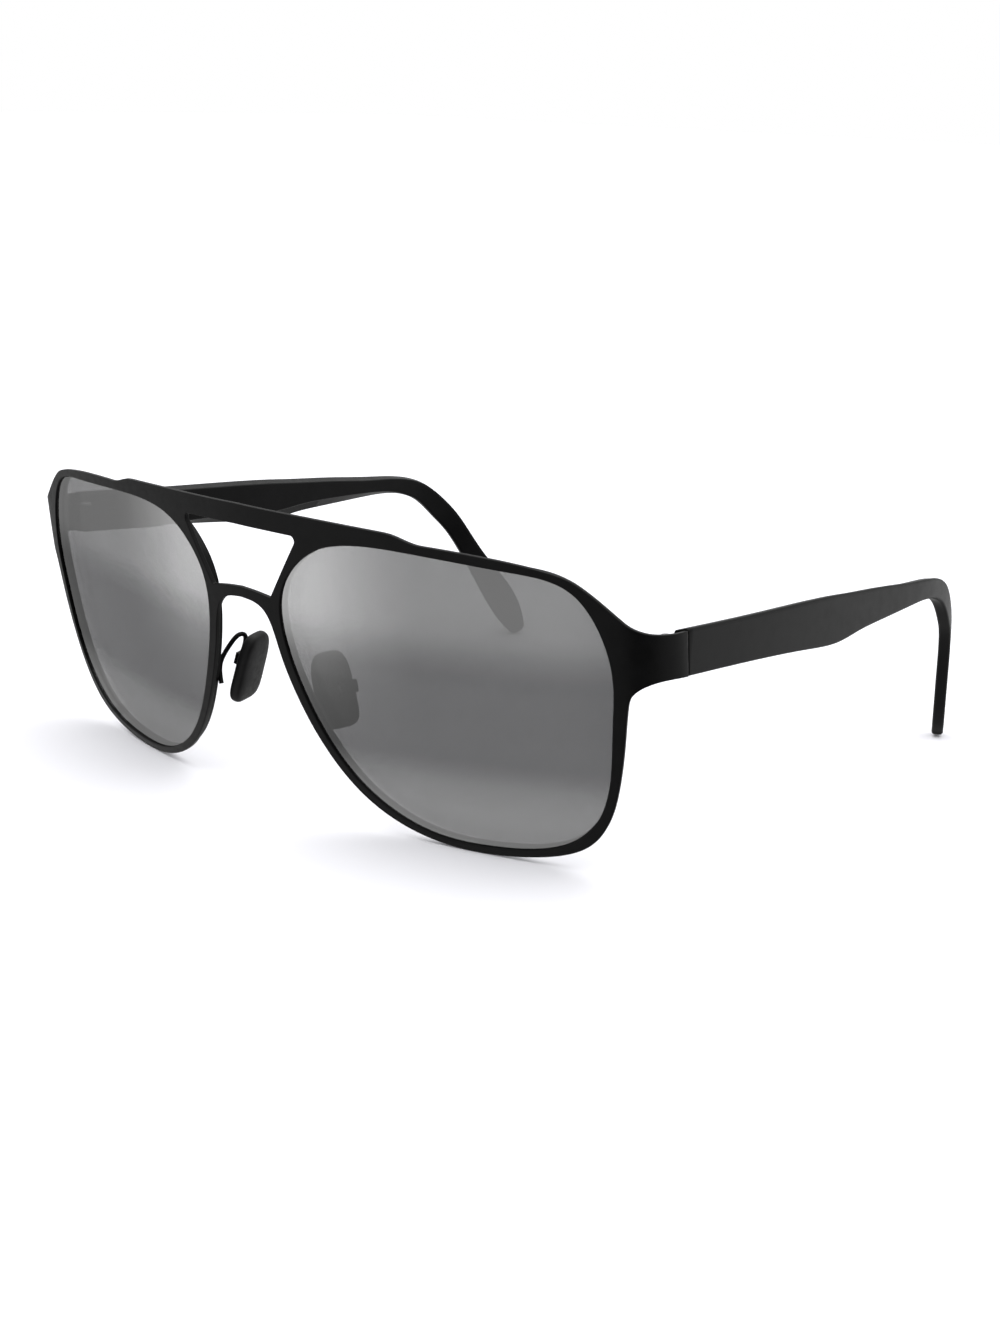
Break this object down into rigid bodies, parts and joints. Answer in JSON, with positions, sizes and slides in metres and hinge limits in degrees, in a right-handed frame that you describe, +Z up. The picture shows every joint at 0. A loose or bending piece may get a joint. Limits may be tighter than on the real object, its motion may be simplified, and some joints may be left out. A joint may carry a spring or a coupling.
{
  "type": "folding sunglasses",
  "caption": "Aviator sunglasses with a double bridge: flat metal front, mirrored grey lenses, rocking nose pads and hinged, deep-sided temples that curl down behind the ears.",
  "frame": {"origin": "centre of the whole object's box in plan, at the height of the surface it stands on", "axes": "+Z up, front and lenses face -Y, temples run back to +Y, the wearer's left is +X"},
  "size_m": [0.1536, 0.1388, 0.0548],
  "materials": {
    "matte_black_metal": "matte black coating over sheet metal and wire",
    "grey_lens": "neutral grey tint with a silvery double gradient mirror",
    "black_acetate": "smooth black, satin polish",
    "black_silicone": "soft matte black",
    "steel": "plain steel, mostly hidden"
  },
  "bodies": {
    "front": {"front_frame": "matte_black_metal", "rim_wire_left": "matte_black_metal", "lens_left": "grey_lens", "closing_block_upper_left": "matte_black_metal", "closing_block_lower_left": "matte_black_metal", "closing_screw_left": "steel", "hinge_front_left": "matte_black_metal", "hinge_screw_left": "steel", "pad_cup_left": "matte_black_metal", "pad_screw_left": "steel", "pad_arm_left": "matte_black_metal", "rim_wire_right": "matte_black_metal", "lens_right": "grey_lens", "closing_block_upper_right": "matte_black_metal", "closing_block_lower_right": "matte_black_metal", "closing_screw_right": "steel", "hinge_front_right": "matte_black_metal", "hinge_screw_right": "steel", "pad_cup_right": "matte_black_metal", "pad_screw_right": "steel", "pad_arm_right": "matte_black_metal"},
    "temple_arm_left": {"temple_left": "black_acetate", "hinge_temple_left": "matte_black_metal", "core_wire_left": "steel"},
    "pad_left": {"nose_pad_left": "black_silicone", "pad_insert_left": "steel"},
    "temple_arm_right": {"temple_right": "black_acetate", "hinge_temple_right": "matte_black_metal", "core_wire_right": "steel"},
    "pad_right": {"nose_pad_right": "black_silicone", "pad_insert_right": "steel"}
  },
  "joints": [
    {"name": "temple_left_fold", "type": "hinge", "parent": "front", "child": "temple_arm_left", "pos_m": [0.07245, -0.0436, 0.0388], "axis": [0, 0, 1], "range_deg": [0, 84]},
    {"name": "pad_left_rock", "type": "hinge", "parent": "front", "child": "pad_left", "pos_m": [0.01294, -0.05492, 0.02287], "axis": [0.2494, 0.9648, 0.0831], "range_deg": [-8, 8]},
    {"name": "temple_right_fold", "type": "hinge", "parent": "front", "child": "temple_arm_right", "pos_m": [-0.07245, -0.0436, 0.0388], "axis": [0, 0, -1], "range_deg": [0, 79]},
    {"name": "pad_right_rock", "type": "hinge", "parent": "front", "child": "pad_right", "pos_m": [-0.01294, -0.05492, 0.02287], "axis": [-0.2494, 0.9648, 0.0831], "range_deg": [-8, 8]}
  ]
}
